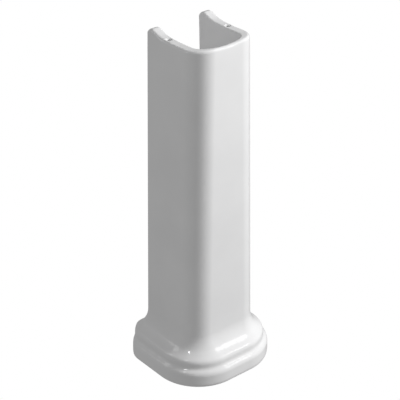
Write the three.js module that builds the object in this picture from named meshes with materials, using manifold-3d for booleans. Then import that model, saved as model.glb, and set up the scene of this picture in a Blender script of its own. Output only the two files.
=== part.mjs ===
// Full pedestal for a washbasin: one piece of glazed vitreous china, U-shaped in plan and open at the
// back, on a two-stepped foot, with the two sets of floor fixings that stand in its rear lugs.
// Millimetres, +Z up. The front faces -Y and the open back faces +Y, towards the wall.
// The origin is on the floor, in the middle of the footprint.

import * as THREE from "three";
import { mergeVertices } from "three/addons/utils/BufferGeometryUtils.js";
import Module from "manifold-3d";

// Column: its section tapers evenly from the floor to the top of the rim.
const HEIGHT = 700;
const TOP_WIDTH = 142.5;
const FLOOR_WIDTH = 167.5;
const TOP_DEPTH = 146.7;
const FLOOR_DEPTH = 150.2;
const ARM_WALL = 20.5;
const FRONT_WALL = 10;
const OUTER_CORNER = 41;
const INNER_CORNER = 30;
const REAR_CORNER = 6;
const JAMB_EDGE = 3;

// Rim: depth below the top at fractions of the way from front to back, and the edge roundings.
const RIM_LINE = [
  [0, 4.5], [0.25, 7.6], [0.5, 9.2], [0.66, 8.8], [0.76, 6.8], [0.84, 3], [0.9, 0], [1, 0],
];
const RIM_FRONT_DIP = 1.8;
const RIM_OUTER_ROUND = 6;
const RIM_INNER_ROUND = 4;
const TIP_ROUND = 14;

// Foot: a plinth and a step, each with a round edge, a straight slope and a cove above it. Reaches are
// measured from the column, and the foot's back is cut flat, so it reaches less far there.
const PLINTH_REACH = 40;
const PLINTH_STRAIGHT = 24;
const PLINTH_ROUND = 12;
const PLINTH_COVE = 8;
const STEP_REACH = 30;
const STEP_FACE = 4.4;
const STEP_ROUND = 11;
const STEP_COVE = 47;
const FOOT_SLOPE = THREE.MathUtils.degToRad(51);
const FLOOR_EDGE_INSET = 3.6;
const FLOOR_EDGE_HEIGHT = 9;
const FOOT_BACK_REACH = 24;
const FOOT_FRONT_CORNER_GAIN = 1.36;
const FOOT_REAR_CORNER_GAIN = 0.98;
const FOOT_FRONT_WALL = 18;
const FOOT_WALL_FADE = 40;

// Vent holes, punched in the rim by hand and so not quite opposite, and the hollow under each.
const VENT_DIAMETER = 10;
const VENT_BACK_LEFT = 53;
const VENT_BACK_RIGHT = 72;
const VENT_DEPTH = 60;
const HOLLOW_SKIN = 6.75;
const HOLLOW_BOTTOM = 130;
const HOLLOW_BELOW_TOP = 38;
const HOLLOW_REAR_SKIN = 14;
const HOLLOW_FRONT_SKIN = 16;

// Fixings: a floor screw through a washer and a nylon sleeve, standing in a lug at each rear corner.
const GAP = 0.3;
const SCREW_DIAMETER = 7;
const SCREW_THREAD_DEPTH = 0.9;
const SCREW_LENGTH = 50;
const SCREW_HEAD_OVERHANG = 2.5;
const SCREW_HEAD_HEIGHT = 5;
const SCREW_TIP = 7;
const SCREW_PITCH = 3;
const SCREW_TURNS = 8;
const SCREW_STANDING = 0.5;
const SLEEVE_WALL = 1.9;
const SLEEVE_FLANGE_OVERHANG = 5;
const SLEEVE_FLANGE_HEIGHT = 2.4;
const WASHER_OVERHANG = 5;
const WASHER_HEIGHT = 1.6;
const LUG_HEIGHT = 14;
const LUG_RIM = 12;
const LUG_OUTBOARD = 5;
const LUG_BACK = 40;

const SLEEVE_BORE = SCREW_DIAMETER + 2 * GAP;
const SLEEVE_DIAMETER = SLEEVE_BORE + 2 * SLEEVE_WALL;
const LUG_HOLE = SLEEVE_DIAMETER + 2 * GAP;
const LUG_WIDTH = LUG_HOLE + 2 * LUG_RIM;
const BACK_Y = (FLOOR_DEPTH + PLINTH_REACH - FOOT_BACK_REACH) / 2;
const LUG_X = FLOOR_WIDTH / 2 - ARM_WALL + LUG_OUTBOARD;
const LUG_Y = BACK_Y - LUG_BACK;

// Outline of the foot as [height, reach] points, from the floor to the top of the upper cove.
const PLINTH_SHOULDER = shoulder(
  PLINTH_STRAIGHT, PLINTH_REACH, STEP_REACH, PLINTH_ROUND, PLINTH_COVE);
const STEP_STRAIGHT = PLINTH_SHOULDER[PLINTH_SHOULDER.length - 1][0] + STEP_FACE;
const FOOT_LINE = [
  ...floorEdge(),
  ...PLINTH_SHOULDER,
  ...shoulder(STEP_STRAIGHT, STEP_REACH, 0, STEP_ROUND, STEP_COVE),
];
const FOOT_TOP = FOOT_LINE[FOOT_LINE.length - 1][0];

// Heights at which the wall's faces are set out, below the rim.
const COLUMN_START = FOOT_TOP + FOOT_WALL_FADE;
const COLUMN_STEPS = [0, 0.22, 0.47, 0.73, 0.95];
const WALL_LEVELS = [
  ...FOOT_LINE.map(([z]) => z),
  ...COLUMN_STEPS.map((t) => COLUMN_START + t * (HEIGHT - HOLLOW_BELOW_TOP - COLUMN_START)),
];

const wasm = await Module();
wasm.setup();

function lerp(a, b, t) {
  return a + (b - a) * t;
}

// Quarter ellipse that draws the plinth in at the floor.
function floorEdge() {
  return [0, 0.33, 0.67, 1].map((t) => {
    const angle = t * Math.PI / 2;
    const inset = FLOOR_EDGE_INSET * (1 - Math.sin(angle));
    return [FLOOR_EDGE_HEIGHT * (1 - Math.cos(angle)), PLINTH_REACH - inset];
  });
}

// Outline from one reach in to a lesser one: a round edge, a straight slope, and a cove that ends
// upright. The round and the cove are limited to the ledge that they share.
function shoulder(height, from, to, fullRound, fullCove) {
  const turn = 1 - Math.cos(FOOT_SLOPE);
  const share = Math.min((from - to) / ((fullRound + fullCove) * turn), 1);
  const round = fullRound * share;
  const cove = fullCove * share;
  const slope = (from - to - (round + cove) * turn) / Math.tan(FOOT_SLOPE);
  const top = height + slope + (round + cove) * Math.sin(FOOT_SLOPE);
  const angles = [0, 0.25, 0.5, 0.75, 1].map((t) => t * FOOT_SLOPE);
  const edge = angles.map((angle) =>
    [height + round * Math.sin(angle), from - round * (1 - Math.cos(angle))]);
  const rise = angles.reverse().map((angle) =>
    [top - cove * Math.sin(angle), to + cove * (1 - Math.cos(angle))]);
  return [...edge, ...rise];
}

// Value of a table of [position, value] pairs, with a smooth slope through its points.
function smoothTable(table, at) {
  const last = table.length - 1;
  if (at <= table[0][0]) return table[0][1];
  if (at >= table[last][0]) return table[last][1];
  let i = 0;
  while (table[i + 1][0] < at) i += 1;
  const step = table[i + 1][0] - table[i][0];
  const t = (at - table[i][0]) / step;
  const from = tableSlope(table, i) * step;
  const to = tableSlope(table, i + 1) * step;
  const t2 = t * t;
  const t3 = t2 * t;
  return (2 * t3 - 3 * t2 + 1) * table[i][1] + (t3 - 2 * t2 + t) * from
    + (3 * t2 - 2 * t3) * table[i + 1][1] + (t3 - t2) * to;
}

// Slope at a point of a table. It is level at an end, at a peak and beside a level stretch.
function tableSlope(table, i) {
  const before = table[Math.max(i - 1, 0)];
  const after = table[Math.min(i + 1, table.length - 1)];
  if ((table[i][1] - before[1]) * (after[1] - table[i][1]) <= 0) return 0;
  return (after[1] - before[1]) / (after[0] - before[0]);
}

// How far a quarter circle of the given radius has fallen away at a distance from its end.
function roundFall(radius, distance) {
  if (distance >= radius) return 0;
  const inside = radius - Math.max(distance, 0);
  return radius - Math.sqrt(radius * radius - inside * inside);
}

// Size of the wall's plan at a height: half width, front and back, and the corner radii.
function planAt(z) {
  const t = z / HEIGHT;
  const reach = smoothTable(FOOT_LINE, z);
  const fade = THREE.MathUtils.clamp((COLUMN_START - z) / FOOT_WALL_FADE, 0, 1);
  const returned = Math.min(reach / PLINTH_REACH, 1);
  return {
    half: lerp(FLOOR_WIDTH, TOP_WIDTH, t) / 2 + reach,
    front: BACK_Y - lerp(FLOOR_DEPTH, TOP_DEPTH, t) - reach,
    back: BACK_Y + Math.min(reach, FOOT_BACK_REACH),
    frontCorner: OUTER_CORNER + reach * FOOT_FRONT_CORNER_GAIN,
    rearCorner: REAR_CORNER + reach * FOOT_REAR_CORNER_GAIN,
    frontWall: lerp(FRONT_WALL, FOOT_FRONT_WALL, fade),
    rearWall: lerp(JAMB_EDGE + 0.5, ARM_WALL, returned),
    opening: lerp(FLOOR_WIDTH, TOP_WIDTH, t) / 2 - ARM_WALL,
  };
}

// Stations along the wall's plan from the middle of the front to the edge of the rear opening. Each
// one is a run of the path and a fraction along it.
const RUNS = [
  ["front", [0, 0.35, 0.7]],
  ["frontArc", [0, 0.11, 0.22, 0.33, 0.44, 0.56, 0.67, 0.78, 0.89]],
  ["side", [0, 0.14, 0.28, 0.42, 0.56, 0.7, 0.82, 0.92, 0.96]],
  ["rearArc", [0, 0.25, 0.5, 0.75]],
  ["rear", [0, 0.5]],
  ["edge", [0, 0.5, 1]],
];

function arcPoint(x, y, radius, from, t) {
  const angle = from + t * Math.PI / 2;
  return [x + radius * Math.cos(angle), y + radius * Math.sin(angle)];
}

// Point of a rounded outline at a station. The outline is one of a wall's two faces.
function outlinePoint(outline, run, t) {
  const { half, front, back, frontCorner, rearCorner, end, edge } = outline;
  if (run === "front") return [t * (half - frontCorner), front];
  if (run === "frontArc") {
    return arcPoint(half - frontCorner, front + frontCorner, frontCorner, -Math.PI / 2, t);
  }
  if (run === "side") return [half, lerp(front + frontCorner, back - rearCorner, t)];
  if (run === "rearArc") {
    return arcPoint(half - rearCorner, back - rearCorner, rearCorner, 0, t);
  }
  if (run === "rear") return [lerp(half - rearCorner, end + edge, t), back];
  return arcPoint(end + edge, back - edge, edge, Math.PI / 2, t);
}

// The wall's outer and inner faces at a height.
function outlinesAt(z) {
  const plan = planAt(z);
  const outer = { ...plan, end: plan.opening, edge: JAMB_EDGE };
  const inner = {
    half: plan.half - ARM_WALL,
    front: plan.front + plan.frontWall,
    back: plan.back - plan.rearWall,
    frontCorner: plan.frontCorner - OUTER_CORNER + INNER_CORNER,
    rearCorner: Math.max(plan.rearCorner - ARM_WALL, 0),
    end: plan.opening,
    edge: 0,
  };
  return { outer, inner };
}

// Height of the rim at a point of the column's top, before its edges are rounded.
function rimHeight(x, y) {
  const { half, front, back, frontCorner } = planAt(HEIGHT);
  const flat = Math.min(Math.abs(x) / (half - frontCorner), 1);
  const dip = y < front + frontCorner / 2 ? RIM_FRONT_DIP * (1 - flat * flat) : 0;
  const line = smoothTable(RIM_LINE, (y - front) / (back - front));
  return HEIGHT - line - dip - roundFall(TIP_ROUND, back - y);
}

// Points across the rim at a station, from the outer face to the inner face, falling at both edges.
function rimPoints(run, outer, inner) {
  const { half, opening } = planAt(HEIGHT);
  const thickness = Math.hypot(outer[0] - inner[0], outer[1] - inner[1]);
  const outerRound = Math.min(RIM_OUTER_ROUND, thickness / 2);
  const innerRound = Math.min(RIM_INNER_ROUND, thickness / 3);
  const angles = [0, Math.PI / 6, Math.PI / 3, Math.PI / 2];
  const across = angles.map((angle) => outerRound * (1 - Math.cos(angle)));
  angles.reverse().forEach((angle) => across.push(thickness - innerRound * (1 - Math.cos(angle))));
  return across.map((distance) => {
    const x = lerp(outer[0], inner[0], distance / thickness);
    const y = lerp(outer[1], inner[1], distance / thickness);
    const onFront = run === "front" || run === "frontArc";
    const fromOuter = onFront ? distance : half - Math.abs(x);
    const fromInner = onFront ? thickness - distance : Math.abs(x) - opening;
    const fall = roundFall(RIM_OUTER_ROUND, fromOuter) + roundFall(RIM_INNER_ROUND, fromInner);
    return [x, y, rimHeight(x, y) - fall];
  });
}

// Closed section of the wall at a station: up the outer face, over the rim and down the inner face.
function wallSection(run, t, side) {
  const outerFace = [];
  const innerFace = [];
  for (const z of WALL_LEVELS) {
    const { outer, inner } = outlinesAt(z);
    outerFace.push([...outlinePoint(outer, run, t), z]);
    innerFace.push([...outlinePoint(inner, run, t), z]);
  }
  const top = outlinesAt(HEIGHT);
  const rim = rimPoints(run, outlinePoint(top.outer, run, t), outlinePoint(top.inner, run, t));
  const loop = [...outerFace, ...rim, ...innerFace.reverse()];
  return loop.map(([x, y, z]) => [side * x, y, z]);
}

function allStations() {
  const right = RUNS.flatMap(([run, fractions]) => fractions.map((t) => [run, t]));
  const left = right.slice(1).reverse();
  return [...left.map(([run, t]) => [run, t, -1]), ...right.map(([run, t]) => [run, t, 1])];
}

// Closed surface through equal loops of points, with each end closed by a ladder of faces.
function skinGeometry(loops) {
  const size = loops[0].length;
  const index = [];
  const quad = (a, b, c, d) => index.push(a, b, c, a, c, d);
  for (let row = 0; row < loops.length - 1; row += 1) {
    for (let k = 0; k < size; k += 1) {
      const next = (k + 1) % size;
      quad(row * size + k, (row + 1) * size + k, (row + 1) * size + next, row * size + next);
    }
  }
  const last = (loops.length - 1) * size;
  for (let k = 0; k < size / 2 - 1; k += 1) {
    quad(k, k + 1, size - 2 - k, size - 1 - k);
    quad(last + size - 1 - k, last + size - 2 - k, last + k + 1, last + k);
  }
  const geometry = new THREE.BufferGeometry();
  geometry.setAttribute("position", new THREE.Float32BufferAttribute(loops.flat(2), 3));
  geometry.setIndex(index);
  return geometry;
}

// A closed geometry as a solid that can be joined and cut.
function toSolid(geometry) {
  const plain = geometry.clone();
  plain.deleteAttribute("normal");
  plain.deleteAttribute("uv");
  const merged = mergeVertices(plain, 1e-4);
  const corners = merged.index.array;
  const triangles = [];
  for (let i = 0; i < corners.length; i += 3) {
    const [a, b, c] = corners.slice(i, i + 3);
    if (a !== b && b !== c && c !== a) triangles.push(a, b, c);
  }
  return new wasm.Manifold(new wasm.Mesh({
    numProp: 3,
    vertProperties: new Float32Array(merged.attributes.position.array),
    triVerts: new Uint32Array(triangles),
  }));
}

function toGeometry(solid) {
  const mesh = solid.getMesh();
  const geometry = new THREE.BufferGeometry();
  geometry.setAttribute("position", new THREE.BufferAttribute(mesh.vertProperties, 3));
  geometry.setIndex(new THREE.BufferAttribute(mesh.triVerts, 1));
  geometry.computeVertexNormals();
  return geometry;
}

// Upright cylinder between two heights.
function uprightCylinder(x, y, diameter, bottom, top, segments) {
  const geometry = new THREE.CylinderGeometry(diameter / 2, diameter / 2, top - bottom, segments);
  geometry.rotateX(Math.PI / 2);
  geometry.translate(x, y, (bottom + top) / 2);
  return geometry;
}

// Hollow inside one arm, which follows the taper of its outer face.
function armHollow(side) {
  const height = HEIGHT - HOLLOW_BELOW_TOP - HOLLOW_BOTTOM;
  const length = TOP_DEPTH - OUTER_CORNER - HOLLOW_REAR_SKIN - HOLLOW_FRONT_SKIN;
  const geometry = new THREE.BoxGeometry(ARM_WALL - 2 * HOLLOW_SKIN, length, height);
  const middle = BACK_Y - HOLLOW_REAR_SKIN - length / 2;
  geometry.translate(0, middle, HOLLOW_BOTTOM + height / 2);
  const position = geometry.attributes.position;
  for (let i = 0; i < position.count; i += 1) {
    const centre = planAt(position.getZ(i)).half - ARM_WALL / 2;
    position.setX(i, position.getX(i) + side * centre);
  }
  return geometry;
}

// Lug on the floor inside a rear corner, rounded at its free end.
function rearLug(side) {
  const outline = new THREE.Shape();
  const root = planAt(0).half - ARM_WALL + 6;
  outline.moveTo(root, -LUG_WIDTH / 2);
  outline.lineTo(root, LUG_WIDTH / 2);
  outline.lineTo(LUG_X, LUG_WIDTH / 2);
  outline.absarc(LUG_X, 0, LUG_WIDTH / 2, Math.PI / 2, 3 * Math.PI / 2, false);
  const geometry = new THREE.ExtrudeGeometry(outline, {
    depth: LUG_HEIGHT,
    bevelEnabled: false,
    curveSegments: 10,
  });
  if (side < 0) geometry.rotateZ(Math.PI);
  geometry.translate(0, LUG_Y, 0);
  return geometry;
}

function pedestalBody() {
  const sections = allStations().map(([run, t, side]) => wallSection(run, t, side));
  let solid = toSolid(skinGeometry(sections));
  for (const side of [-1, 1]) {
    const ventX = side * (planAt(HEIGHT).half - ARM_WALL / 2);
    const ventY = BACK_Y - (side < 0 ? VENT_BACK_LEFT : VENT_BACK_RIGHT);
    solid = solid.add(toSolid(rearLug(side)));
    solid = solid.subtract(toSolid(
      uprightCylinder(side * LUG_X, LUG_Y, LUG_HOLE, -1, LUG_HEIGHT + 1, 24)));
    solid = solid.subtract(toSolid(armHollow(side)));
    solid = solid.subtract(toSolid(
      uprightCylinder(ventX, ventY, VENT_DIAMETER, HEIGHT - VENT_DEPTH, HEIGHT + 1, 24)));
  }
  return toGeometry(solid);
}

function latheUp(profile, segments) {
  const points = profile.map(([radius, height]) => new THREE.Vector2(radius, height));
  const geometry = new THREE.LatheGeometry(points, segments);
  geometry.rotateX(Math.PI / 2);
  return geometry;
}

// Nylon sleeve: a tube down through the lug, with a flange that rests on it.
function sleeveGeometry() {
  const bore = SLEEVE_BORE / 2;
  const tube = SLEEVE_DIAMETER / 2;
  const flange = LUG_HOLE / 2 + SLEEVE_FLANGE_OVERHANG;
  const seat = LUG_HEIGHT + GAP;
  const top = seat + SLEEVE_FLANGE_HEIGHT;
  return latheUp([
    [bore, 1], [tube, 1], [tube, seat], [flange, seat],
    [flange, top - 0.6], [flange - 0.6, top], [bore, top], [bore, 1],
  ], 24);
}

function washerGeometry() {
  const bore = SLEEVE_BORE / 2;
  const bottom = LUG_HEIGHT + SLEEVE_FLANGE_HEIGHT + 2 * GAP;
  const rim = bore + WASHER_OVERHANG;
  const top = bottom + WASHER_HEIGHT;
  return latheUp([[bore, bottom], [rim, bottom], [rim, top], [bore, top], [bore, bottom]], 24);
}

// Floor screw: pointed tip, threaded shank, plain neck and domed head.
function screwGeometry() {
  const crest = SCREW_DIAMETER / 2;
  const root = crest - SCREW_THREAD_DEPTH;
  const head = crest + SCREW_HEAD_OVERHANG;
  const top = SCREW_LENGTH + SCREW_HEAD_HEIGHT;
  const profile = [[0, 0], [root, SCREW_TIP]];
  for (let turn = 0; turn < SCREW_TURNS; turn += 1) {
    const height = SCREW_TIP + turn * SCREW_PITCH;
    profile.push([crest, height + SCREW_PITCH / 2], [root, height + SCREW_PITCH]);
  }
  profile.push([crest, SCREW_TIP + SCREW_TURNS * SCREW_PITCH + SCREW_THREAD_DEPTH]);
  profile.push([crest, SCREW_LENGTH], [head, SCREW_LENGTH]);
  profile.push([head, SCREW_LENGTH + SCREW_HEAD_HEIGHT / 2], [head * 0.45, top], [0, top]);
  return latheUp(profile, 20);
}

const glaze = new THREE.MeshStandardMaterial({ color: 0xf4f4f2, roughness: 0.12, metalness: 0 });
const nylon = new THREE.MeshStandardMaterial({ color: 0xe6e4dc, roughness: 0.5, metalness: 0 });
const steel = new THREE.MeshStandardMaterial({ color: 0xb4b6b8, roughness: 0.32, metalness: 1 });

function namedMesh(name, geometry, material) {
  const mesh = new THREE.Mesh(geometry, material);
  mesh.name = name;
  return mesh;
}

// The fixings of one rear lug, in the order in which they go on.
function fixingSet(name, side) {
  const set = new THREE.Group();
  set.position.set(side * LUG_X, LUG_Y, 0);
  set.add(namedMesh(`sleeve_${name}`, sleeveGeometry(), nylon));
  set.add(namedMesh(`washer_${name}`, washerGeometry(), steel));
  const screw = namedMesh(`floor_screw_${name}`, screwGeometry(), steel);
  screw.position.z = SCREW_STANDING;
  set.add(screw);
  return set;
}

const pedestal = new THREE.Group();
pedestal.name = "pedestal";
pedestal.add(namedMesh("pedestal_body", pedestalBody(), glaze));
pedestal.add(fixingSet("left", -1));
pedestal.add(fixingSet("right", 1));

export default pedestal;
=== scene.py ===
"""Full pedestal for a washbasin: white glazed vitreous china, open at the back, on a stepped foot.

The body is a fine surface of the wall's own section and plan. Metres, +Z up, -Y the front.
"""

import math

import bmesh
import bpy
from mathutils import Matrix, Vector


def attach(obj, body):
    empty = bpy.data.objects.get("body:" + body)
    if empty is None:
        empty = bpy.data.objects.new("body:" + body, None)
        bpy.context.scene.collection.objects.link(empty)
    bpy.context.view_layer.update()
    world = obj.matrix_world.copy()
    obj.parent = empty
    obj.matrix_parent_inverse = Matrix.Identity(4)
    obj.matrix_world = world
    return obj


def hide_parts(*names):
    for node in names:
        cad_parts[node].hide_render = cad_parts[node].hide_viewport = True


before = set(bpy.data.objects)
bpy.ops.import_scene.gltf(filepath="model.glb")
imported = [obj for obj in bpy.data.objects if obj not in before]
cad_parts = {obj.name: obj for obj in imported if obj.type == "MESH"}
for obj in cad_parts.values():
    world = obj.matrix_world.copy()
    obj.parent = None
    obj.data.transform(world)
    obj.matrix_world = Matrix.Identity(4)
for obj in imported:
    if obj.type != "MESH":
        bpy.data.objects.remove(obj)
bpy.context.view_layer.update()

MM = 0.001

# Column, in millimetres: its section tapers evenly from the floor to the top of the rim.
HEIGHT = 700
TOP_WIDTH = 142.5
FLOOR_WIDTH = 167.5
TOP_DEPTH = 146.7
FLOOR_DEPTH = 150.2
ARM_WALL = 20.5
FRONT_WALL = 10
OUTER_CORNER = 41
INNER_CORNER = 30
REAR_CORNER = 6
JAMB_EDGE = 3

# Rim: depth below the top at fractions of the way from front to back, and the edge roundings.
RIM_LINE = [
    (0, 4.5), (0.25, 7.6), (0.5, 9.2), (0.66, 8.8), (0.76, 6.8), (0.84, 3), (0.9, 0), (1, 0),
]
RIM_FRONT_DIP = 1.8
RIM_OUTER_ROUND = 6
RIM_INNER_ROUND = 4
TIP_ROUND = 14

# Foot: a plinth and a step, each with a round edge, a straight slope and a cove above it. Reaches are
# measured from the column, and the foot's back is cut flat, so it reaches less far there.
PLINTH_REACH = 40
PLINTH_STRAIGHT = 24
PLINTH_ROUND = 12
PLINTH_COVE = 8
STEP_REACH = 30
STEP_FACE = 4.4
STEP_ROUND = 11
STEP_COVE = 47
FOOT_SLOPE = math.radians(51)
FLOOR_EDGE_INSET = 3.6
FLOOR_EDGE_HEIGHT = 9
FOOT_BACK_REACH = 24
FOOT_FRONT_CORNER_GAIN = 1.36
FOOT_REAR_CORNER_GAIN = 0.98
FOOT_FRONT_WALL = 18
FOOT_WALL_FADE = 40

# Vent holes: each one's distance from the back, by side, and the rounded lip at its mouth.
VENT_DIAMETER = 10
VENT_BACK = {-1: 53, 1: 72}
VENT_DEPTH = 60
VENT_LIP = 2.2
VENT_LIP_ABOVE_RIM = 0.06

# Fixing lugs inside the foot's rear corners.
LUG_HEIGHT = 14
LUG_HOLE = 12
LUG_RIM = 12
LUG_OUTBOARD = 5
LUG_BACK = 40
LUG_INTO_WALL = 6
LUG_SOFT_EDGE = 2.5

# Room that a cutter leaves beyond the face that it cuts.
CUT_PAST_RIM = 3
CUT_PAST_LUG = 5
CUTTER_SEGMENTS = 48

BACK_Y = (FLOOR_DEPTH + PLINTH_REACH - FOOT_BACK_REACH) / 2
LUG_X = FLOOR_WIDTH / 2 - ARM_WALL + LUG_OUTBOARD
LUG_Y = BACK_Y - LUG_BACK


def lerp(a, b, t):
    return a + (b - a) * t


def floor_edge():
    """Quarter ellipse that draws the plinth in at the floor."""
    points = []
    for t in (0, 0.33, 0.67, 1):
        angle = t * math.pi / 2
        inset = FLOOR_EDGE_INSET * (1 - math.sin(angle))
        points.append((FLOOR_EDGE_HEIGHT * (1 - math.cos(angle)), PLINTH_REACH - inset))
    return points


def shoulder(height, start, end, edge_round, cove):
    """Outline from one reach in to a lesser one: a round edge, a straight slope and a cove."""
    turn = 1 - math.cos(FOOT_SLOPE)
    slope = (start - end - (edge_round + cove) * turn) / math.tan(FOOT_SLOPE)
    top = height + slope + (edge_round + cove) * math.sin(FOOT_SLOPE)
    angles = [t * FOOT_SLOPE for t in (0, 0.25, 0.5, 0.75, 1)]
    edge = [
        (height + edge_round * math.sin(a), start - edge_round * (1 - math.cos(a)))
        for a in angles
    ]
    rise = [
        (top - cove * math.sin(a), end + cove * (1 - math.cos(a))) for a in reversed(angles)
    ]
    return edge + rise


# Outline of the foot as (height, reach) points, from the floor to the top of the upper cove.
PLINTH_SHOULDER = shoulder(PLINTH_STRAIGHT, PLINTH_REACH, STEP_REACH, PLINTH_ROUND, PLINTH_COVE)
STEP_STRAIGHT = PLINTH_SHOULDER[-1][0] + STEP_FACE
FOOT_LINE = [
    *floor_edge(),
    *PLINTH_SHOULDER,
    *shoulder(STEP_STRAIGHT, STEP_REACH, 0, STEP_ROUND, STEP_COVE),
]
FOOT_TOP = FOOT_LINE[-1][0]
COLUMN_START = FOOT_TOP + FOOT_WALL_FADE


def table_slope(table, i):
    """Slope at a point of a table. It is level at an end, at a peak and beside a level stretch."""
    before = table[max(i - 1, 0)]
    after = table[min(i + 1, len(table) - 1)]
    if (table[i][1] - before[1]) * (after[1] - table[i][1]) <= 0:
        return 0
    return (after[1] - before[1]) / (after[0] - before[0])


def smooth_table(table, at):
    """Value of a table of (position, value) pairs, with a smooth slope through its points."""
    if at <= table[0][0]:
        return table[0][1]
    if at >= table[-1][0]:
        return table[-1][1]
    i = 0
    while table[i + 1][0] < at:
        i += 1
    step = table[i + 1][0] - table[i][0]
    t = (at - table[i][0]) / step
    start = table_slope(table, i) * step
    end = table_slope(table, i + 1) * step
    return (
        (2 * t**3 - 3 * t**2 + 1) * table[i][1]
        + (t**3 - 2 * t**2 + t) * start
        + (3 * t**2 - 2 * t**3) * table[i + 1][1]
        + (t**3 - t**2) * end
    )


def round_fall(radius, distance):
    """How far a quarter circle has fallen away at a distance from its end."""
    if distance >= radius:
        return 0.0
    inside = radius - max(distance, 0)
    return radius - math.sqrt(radius * radius - inside * inside)


def plan_at(z):
    """Size of the wall's plan at a height."""
    t = z / HEIGHT
    reach = smooth_table(FOOT_LINE, z)
    fade = min(max((COLUMN_START - z) / FOOT_WALL_FADE, 0), 1)
    returned = min(reach / PLINTH_REACH, 1)
    return {
        "half": lerp(FLOOR_WIDTH, TOP_WIDTH, t) / 2 + reach,
        "front": BACK_Y - lerp(FLOOR_DEPTH, TOP_DEPTH, t) - reach,
        "back": BACK_Y + min(reach, FOOT_BACK_REACH),
        "front_corner": OUTER_CORNER + reach * FOOT_FRONT_CORNER_GAIN,
        "rear_corner": REAR_CORNER + reach * FOOT_REAR_CORNER_GAIN,
        "front_wall": lerp(FRONT_WALL, FOOT_FRONT_WALL, fade),
        "rear_wall": lerp(JAMB_EDGE + 0.5, ARM_WALL, returned),
        "opening": lerp(FLOOR_WIDTH, TOP_WIDTH, t) / 2 - ARM_WALL,
    }


def arc_point(x, y, radius, start, t):
    angle = start + t * math.pi / 2
    return x + radius * math.cos(angle), y + radius * math.sin(angle)


def outline_point(o, run, t):
    """Point of a rounded outline at a station."""
    half, front, back = o["half"], o["front"], o["back"]
    fc, rc = o["front_corner"], o["rear_corner"]
    if run == "front":
        return t * (half - fc), front
    if run == "front_arc":
        return arc_point(half - fc, front + fc, fc, -math.pi / 2, t)
    if run == "side":
        return half, lerp(front + fc, back - rc, t)
    if run == "rear_arc":
        return arc_point(half - rc, back - rc, rc, 0, t)
    if run == "rear":
        return lerp(half - rc, o["end"] + o["edge"], t), back
    return arc_point(o["end"] + o["edge"], back - o["edge"], o["edge"], math.pi / 2, t)


def outlines_at(z):
    """The wall's outer and inner faces at a height."""
    plan = plan_at(z)
    outer = dict(plan, end=plan["opening"], edge=JAMB_EDGE)
    inner = {
        "half": plan["half"] - ARM_WALL,
        "front": plan["front"] + plan["front_wall"],
        "back": plan["back"] - plan["rear_wall"],
        "front_corner": plan["front_corner"] - OUTER_CORNER + INNER_CORNER,
        "rear_corner": max(plan["rear_corner"] - ARM_WALL, 0),
        "end": plan["opening"],
        "edge": 0,
    }
    return outer, inner


def rim_height(x, y):
    """Height of the rim at a point of the column's top, before its edges are rounded."""
    top = plan_at(HEIGHT)
    flat = min(abs(x) / (top["half"] - top["front_corner"]), 1)
    dip = RIM_FRONT_DIP * (1 - flat * flat) if y < top["front"] + top["front_corner"] / 2 else 0
    line = smooth_table(RIM_LINE, (y - top["front"]) / (top["back"] - top["front"]))
    return HEIGHT - line - dip - round_fall(TIP_ROUND, top["back"] - y)


def rim_points(run, outer, inner):
    """Points across the rim at a station, falling at both edges."""
    steps = 9
    top = plan_at(HEIGHT)
    thickness = math.hypot(outer[0] - inner[0], outer[1] - inner[1])
    outer_round = min(RIM_OUTER_ROUND, thickness / 2)
    inner_round = min(RIM_INNER_ROUND, thickness / 3)
    angles = [i * math.pi / 2 / steps for i in range(steps + 1)]
    across = [outer_round * (1 - math.cos(a)) for a in angles]
    flat_end = thickness - inner_round
    across += [lerp(outer_round, flat_end, i / 7) for i in range(1, 7)]
    across += [thickness - inner_round * (1 - math.cos(a)) for a in reversed(angles)]
    points = []
    for distance in across:
        x = lerp(outer[0], inner[0], distance / thickness)
        y = lerp(outer[1], inner[1], distance / thickness)
        on_front = run in ("front", "front_arc")
        from_outer = distance if on_front else top["half"] - abs(x)
        from_inner = thickness - distance if on_front else abs(x) - top["opening"]
        fall = round_fall(RIM_OUTER_ROUND, from_outer) + round_fall(RIM_INNER_ROUND, from_inner)
        points.append((x, y, rim_height(x, y) - fall))
    return points


def wall_levels():
    """Heights of the wall's rows: every millimetre in the foot, wider apart in the column."""
    below_rim = HEIGHT - 40
    foot = [0, 0.3, 0.7] + list(range(1, math.floor(FOOT_TOP))) + [FOOT_TOP]
    fade = [FOOT_TOP + FOOT_WALL_FADE * i / 4 for i in range(1, 4)]
    column = [lerp(COLUMN_START, below_rim, i / 24) for i in range(25)]
    return foot + fade + column


def stations():
    """Stations around the wall's plan, from one edge of the rear opening to the other."""
    runs = [
        ("front", [i / 12 for i in range(12)]),
        ("front_arc", [i / 36 for i in range(36)]),
        ("side", [i / 70 for i in range(56)] + [0.8 + i / 150 for i in range(30)]),
        ("rear_arc", [i / 10 for i in range(10)]),
        ("rear", [i / 6 for i in range(6)]),
        ("edge", [i / 5 for i in range(6)]),
    ]
    right = [(run, t) for run, fractions in runs for t in fractions]
    left = [(run, t, -1) for run, t in reversed(right[1:])]
    return left + [(run, t, 1) for run, t in right]


def section(run, t, side, faces):
    """Closed section of the wall at a station: up the outer face, over the rim and down inside."""
    loop_out, loop_in = [], []
    for z, outer, inner in faces:
        loop_out.append((*outline_point(outer, run, t), z))
        loop_in.append((*outline_point(inner, run, t), z))
    outer, inner = outlines_at(HEIGHT)
    rim = rim_points(run, outline_point(outer, run, t), outline_point(inner, run, t))
    return [(side * x, y, z) for x, y, z in loop_out + rim + loop_in[::-1]]


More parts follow.
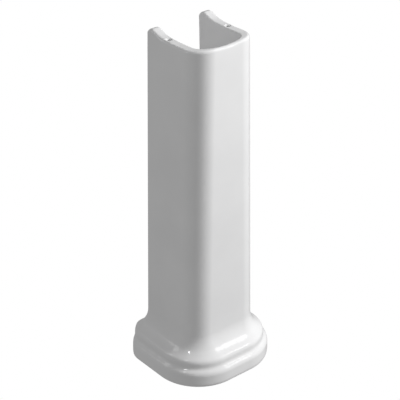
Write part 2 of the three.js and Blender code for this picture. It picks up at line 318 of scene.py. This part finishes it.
def skin_mesh(name, loops):
    """A closed surface through equal loops of points, with each end closed by a ladder of faces."""
    bm = bmesh.new()
    rows = [[bm.verts.new(Vector(p) * MM) for p in loop] for loop in loops]
    size = len(loops[0])
    for row, after in zip(rows, rows[1:]):
        for k in range(size):
            n = (k + 1) % size
            bm.faces.new((row[k], after[k], after[n], row[n]))
    for k in range(size // 2 - 1):
        a, b = rows[0], rows[-1]
        bm.faces.new((a[k], a[k + 1], a[size - 2 - k], a[size - 1 - k]))
        bm.faces.new((b[size - 1 - k], b[size - 2 - k], b[k + 1], b[k]))
    bmesh.ops.remove_doubles(bm, verts=bm.verts, dist=1e-7)
    bmesh.ops.dissolve_degenerate(bm, edges=bm.edges, dist=1e-7)
    bmesh.ops.recalc_face_normals(bm, faces=bm.faces)
    mesh = bpy.data.meshes.new(name)
    bm.to_mesh(mesh)
    bm.free()
    return new_object(name, mesh)


def new_object(name, mesh):
    obj = bpy.data.objects.new(name, mesh)
    bpy.context.scene.collection.objects.link(obj)
    return obj


def lathe_mesh(name, profile, segments, x, y):
    """A turned solid about an upright axis. The profile's points are (radius, height) in millimetres."""
    bm = bmesh.new()
    rings = []
    for radius, height in profile:
        if radius < 1e-6:
            rings.append([bm.verts.new(Vector((x, y, height)) * MM)] * segments)
            continue
        ring = []
        for i in range(segments):
            a = 2 * math.pi * i / segments
            place = (x + radius * math.cos(a), y + radius * math.sin(a), height)
            ring.append(bm.verts.new(Vector(place) * MM))
        rings.append(ring)
    pairs = list(zip(rings, rings[1:]))
    if profile[0][0] > 1e-6:
        pairs.append((rings[-1], rings[0]))
    for a, b in pairs:
        for i in range(segments):
            n = (i + 1) % segments
            corners = []
            for v in (a[i], a[n], b[n], b[i]):
                if v not in corners:
                    corners.append(v)
            if len(corners) > 2:
                bm.faces.new(corners)
    bmesh.ops.recalc_face_normals(bm, faces=bm.faces)
    mesh = bpy.data.meshes.new(name)
    bm.to_mesh(mesh)
    bm.free()
    return new_object(name, mesh)


def boolean(target, tool, operation):
    """Joins a tool to a target or cuts it away, and removes the tool."""
    modifier = target.modifiers.new("cut", "BOOLEAN")
    modifier.operation = operation
    modifier.solver = "MANIFOLD"
    modifier.object = tool
    bpy.context.view_layer.update()
    evaluated = target.evaluated_get(bpy.context.evaluated_depsgraph_get())
    mesh = bpy.data.meshes.new_from_object(evaluated)
    target.modifiers.clear()
    target.data = mesh
    bpy.data.objects.remove(tool)


def vent_cutter(side):
    """Cuts a vent hole with a rounded lip."""
    top = plan_at(HEIGHT)
    x, y = side * (top["half"] - ARM_WALL / 2), BACK_Y - VENT_BACK[side]
    rim = rim_height(x, y)
    radius = VENT_DIAMETER / 2
    mouth = radius + VENT_LIP
    profile = [(0, rim - VENT_DEPTH), (radius, rim - VENT_DEPTH)]
    for i in range(9):
        a = math.pi / 2 * i / 9
        height = rim - VENT_LIP + VENT_LIP * math.sin(a)
        profile.append((radius + VENT_LIP * (1 - math.cos(a)), height))
    profile.append((mouth, rim + VENT_LIP_ABOVE_RIM))
    profile.append((mouth, rim + CUT_PAST_RIM))
    profile.append((0, rim + CUT_PAST_RIM))
    return lathe_mesh("vent_cutter", profile, CUTTER_SEGMENTS, x, y)


def lug_hole_cutter(side):
    bottom, top = -CUT_PAST_LUG, LUG_HEIGHT + CUT_PAST_LUG
    profile = [(0, bottom), (LUG_HOLE / 2, bottom), (LUG_HOLE / 2, top), (0, top)]
    return lathe_mesh("lug_hole", profile, CUTTER_SEGMENTS, side * LUG_X, LUG_Y)


def lug_mesh(side):
    """Fixing lug inside a rear corner, with softened edges. Its hole is cut by lug_hole_cutter."""
    radius = LUG_HOLE / 2 + LUG_RIM
    root = plan_at(0)["half"] - ARM_WALL + LUG_INTO_WALL
    points = [(root, -radius), (root, radius)]
    for i in range(25):
        points.append(arc_point(LUG_X, 0, radius, math.pi / 2, i / 12))
    bm = bmesh.new()
    low = [bm.verts.new(Vector((side * x, y + LUG_Y, 0)) * MM) for x, y in points]
    high = [bm.verts.new(Vector((side * x, y + LUG_Y, LUG_HEIGHT)) * MM) for x, y in points]
    bm.faces.new(low)
    top = bm.faces.new(high)
    for i in range(len(points)):
        n = (i + 1) % len(points)
        bm.faces.new((low[i], low[n], high[n], high[i]))
    bmesh.ops.bevel(
        bm,
        geom=list(top.edges),
        offset=LUG_SOFT_EDGE * MM,
        segments=5,
        profile=0.5,
        affect="EDGES",
    )
    bmesh.ops.recalc_face_normals(bm, faces=bm.faces)
    mesh = bpy.data.meshes.new("lug")
    bm.to_mesh(mesh)
    bm.free()
    return new_object("lug", mesh)


def pedestal_body():
    faces = [(z, *outlines_at(z)) for z in wall_levels()]
    sections = [section(run, t, side, faces) for run, t, side in stations()]
    solid = skin_mesh("glazed_body", sections)
    for side in (-1, 1):
        boolean(solid, lug_mesh(side), "UNION")
        boolean(solid, lug_hole_cutter(side), "DIFFERENCE")
        boolean(solid, vent_cutter(side), "DIFFERENCE")
    for polygon in solid.data.polygons:
        polygon.use_smooth = True
    return solid


# Materials


def node_material(name):
    material = bpy.data.materials.new(name)
    material.use_nodes = True
    tree = material.node_tree
    return material, tree, tree.nodes["Principled BSDF"]


def noise(tree, scale, detail, coordinates):
    node = tree.nodes.new("ShaderNodeTexNoise")
    node.inputs["Scale"].default_value = scale
    node.inputs["Detail"].default_value = detail
    tree.links.new(coordinates, node.inputs["Vector"])
    return node


def map_range(tree, value, low, high, to_low, to_high):
    node = tree.nodes.new("ShaderNodeMapRange")
    node.inputs["From Min"].default_value = low
    node.inputs["From Max"].default_value = high
    node.inputs["To Min"].default_value = to_low
    node.inputs["To Max"].default_value = to_high
    tree.links.new(value, node.inputs["Value"])
    return node.outputs["Result"]


def mix_colour(tree, factor, a, b):
    node = tree.nodes.new("ShaderNodeMix")
    node.data_type = "RGBA"
    tree.links.new(factor, node.inputs["Factor"])
    for socket, value in ((node.inputs[6], a), (node.inputs[7], b)):
        if isinstance(value, tuple):
            socket.default_value = value
        else:
            tree.links.new(value, socket)
    return node.outputs[2]


def glaze_material():
    """White glaze over vitreous china: a faint tone change, a slow ripple and a gloss coat."""
    material, tree, shader = node_material("white_glaze")
    coordinates = tree.nodes.new("ShaderNodeTexCoord").outputs["Object"]
    tone = noise(tree, 9, 3, coordinates).outputs["Fac"]
    clouds = map_range(tree, tone, 0.35, 0.65, 0, 1)
    colour = mix_colour(tree, clouds, (0.865, 0.865, 0.868, 1), (0.9, 0.9, 0.902, 1))
    shader.inputs["Roughness"].default_value = 0.3
    shader.inputs["Specular IOR Level"].default_value = 0.3
    shader.inputs["Coat Weight"].default_value = 0.6
    shader.inputs["Coat Roughness"].default_value = 0.06
    shader.inputs["Coat IOR"].default_value = 1.5
    tree.links.new(colour, shader.inputs["Base Color"])
    ripple = tree.nodes.new("ShaderNodeBump")
    ripple.inputs["Strength"].default_value = 0.12
    ripple.inputs["Distance"].default_value = 0.0006
    tree.links.new(noise(tree, 28, 2, coordinates).outputs["Fac"], ripple.inputs["Height"])
    tree.links.new(ripple.outputs["Normal"], shader.inputs["Normal"])
    tree.links.new(ripple.outputs["Normal"], shader.inputs["Coat Normal"])
    return material


def nylon_material():
    material, tree, shader = node_material("natural_nylon")
    coordinates = tree.nodes.new("ShaderNodeTexCoord").outputs["Object"]
    tone = noise(tree, 300, 2, coordinates).outputs["Fac"]
    colour = mix_colour(tree, tone, (0.72, 0.70, 0.64, 1), (0.8, 0.78, 0.72, 1))
    tree.links.new(colour, shader.inputs["Base Color"])
    shader.inputs["Roughness"].default_value = 0.45
    shader.inputs["Subsurface Weight"].default_value = 0.2
    shader.inputs["Subsurface Scale"].default_value = 0.002
    return material


def steel_material():
    material, tree, shader = node_material("plain_steel")
    coordinates = tree.nodes.new("ShaderNodeTexCoord").outputs["Object"]
    grain = noise(tree, 900, 4, coordinates).outputs["Fac"]
    colour = mix_colour(tree, grain, (0.5, 0.5, 0.51, 1), (0.64, 0.64, 0.65, 1))
    tree.links.new(colour, shader.inputs["Base Color"])
    rough = map_range(tree, grain, 0.3, 0.7, 0.24, 0.4)
    tree.links.new(rough, shader.inputs["Roughness"])
    shader.inputs["Metallic"].default_value = 1
    return material


def set_material(obj, material):
    obj.data.materials.clear()
    obj.data.materials.append(material)


# Camera, floor and lights. Distances and lengths of the camera are in millimetres.

CAMERA_AZIMUTH = math.radians(39.7)
CAMERA_TURN = math.radians(-0.1)
CAMERA_PITCH = math.radians(30.0)
CAMERA_DISTANCE = 2600
CAMERA_HEIGHT = 1848.1
CAMERA_LENS = 141.714
CAMERA_SENSOR = 36
COLUMN_MIDDLE_Y = BACK_Y - TOP_DEPTH / 2

# In metres: the floor stands a little below the foot so that the two don't share a plane.
FLOOR_HALF_WIDTH = 20
FLOOR_HEIGHT = -0.0005
WORLD_STRENGTH = 0.31
COLUMN_MIDDLE = (0, 0, 0.35)
FOOT_MIDDLE = (0, 0, 0.05)


def make_camera():
    data = bpy.data.cameras.new("camera")
    data.sensor_width = CAMERA_SENSOR
    data.lens = CAMERA_LENS
    data.clip_start, data.clip_end = 0.1, 50
    camera = bpy.data.objects.new("camera", data)
    bpy.context.scene.collection.objects.link(camera)
    camera.location = Vector((
        -CAMERA_DISTANCE * math.sin(CAMERA_AZIMUTH),
        COLUMN_MIDDLE_Y - CAMERA_DISTANCE * math.cos(CAMERA_AZIMUTH),
        CAMERA_HEIGHT,
    )) * MM
    turn = CAMERA_AZIMUTH + CAMERA_TURN
    forward = Vector((
        math.sin(turn) * math.cos(CAMERA_PITCH),
        math.cos(turn) * math.cos(CAMERA_PITCH),
        -math.sin(CAMERA_PITCH),
    ))
    camera.rotation_euler = forward.to_track_quat("-Z", "Y").to_euler()
    bpy.context.scene.camera = camera


def area_light(name, location, target, width, height, power):
    data = bpy.data.lights.new(name, "AREA")
    data.shape = "RECTANGLE"
    data.size, data.size_y = width, height
    data.energy = power
    light = bpy.data.objects.new(name, data)
    bpy.context.scene.collection.objects.link(light)
    light.location = location
    aim = Vector(target) - Vector(location)
    light.rotation_euler = aim.to_track_quat("-Z", "Y").to_euler()
    return light


def make_stage():
    """A plain white floor that gives off its own light and takes no shadow."""
    bm = bmesh.new()
    bmesh.ops.create_grid(bm, x_segments=1, y_segments=1, size=FLOOR_HALF_WIDTH)
    mesh = bpy.data.meshes.new("floor")
    bm.to_mesh(mesh)
    bm.free()
    floor = new_object("floor", mesh)
    floor.location.z = FLOOR_HEIGHT
    material, _, shader = node_material("white_floor")
    shader.inputs["Base Color"].default_value = (0, 0, 0, 1)
    shader.inputs["Specular IOR Level"].default_value = 0
    shader.inputs["Emission Color"].default_value = (1, 1, 1, 1)
    shader.inputs["Emission Strength"].default_value = 1
    set_material(floor, material)
    floor.visible_diffuse = False
    floor.visible_glossy = False


def make_lights():
    """A key and a fill that light the body, and two lights that only its glaze reflects."""
    bpy.context.scene.view_settings.view_transform = "Standard"
    world = bpy.data.worlds.new("studio")
    bpy.context.scene.world = world
    world.use_nodes = True
    background = world.node_tree.nodes["Background"]
    background.inputs["Color"].default_value = (1, 1, 1, 1)
    background.inputs["Strength"].default_value = WORLD_STRENGTH
    key = area_light("key", (1.84, -1.72, 1.98), COLUMN_MIDDLE, 0.9, 0.9, 82)
    key.visible_glossy = False
    gloss = area_light("gloss", (1.62, -1.93, 1.98), COLUMN_MIDDLE, 0.6, 0.6, 6)
    gloss.visible_diffuse = False
    glint = area_light("glint", (-2.15, -0.6, 2.0), FOOT_MIDDLE, 0.25, 0.4, 8)
    glint.visible_diffuse = False
    area_light("fill", (-1.9, 1.4, 1.6), (0, 0, 0.45), 0.8, 0.8, 5)


make_camera()
make_stage()
make_lights()

body = pedestal_body()
set_material(body, glaze_material())
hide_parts("pedestal_body")
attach(body, "root")

nylon, steel = nylon_material(), steel_material()
for side in ("left", "right"):
    set_material(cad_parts["sleeve_" + side], nylon)
    set_material(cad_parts["washer_" + side], steel)
    set_material(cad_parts["floor_screw_" + side], steel)
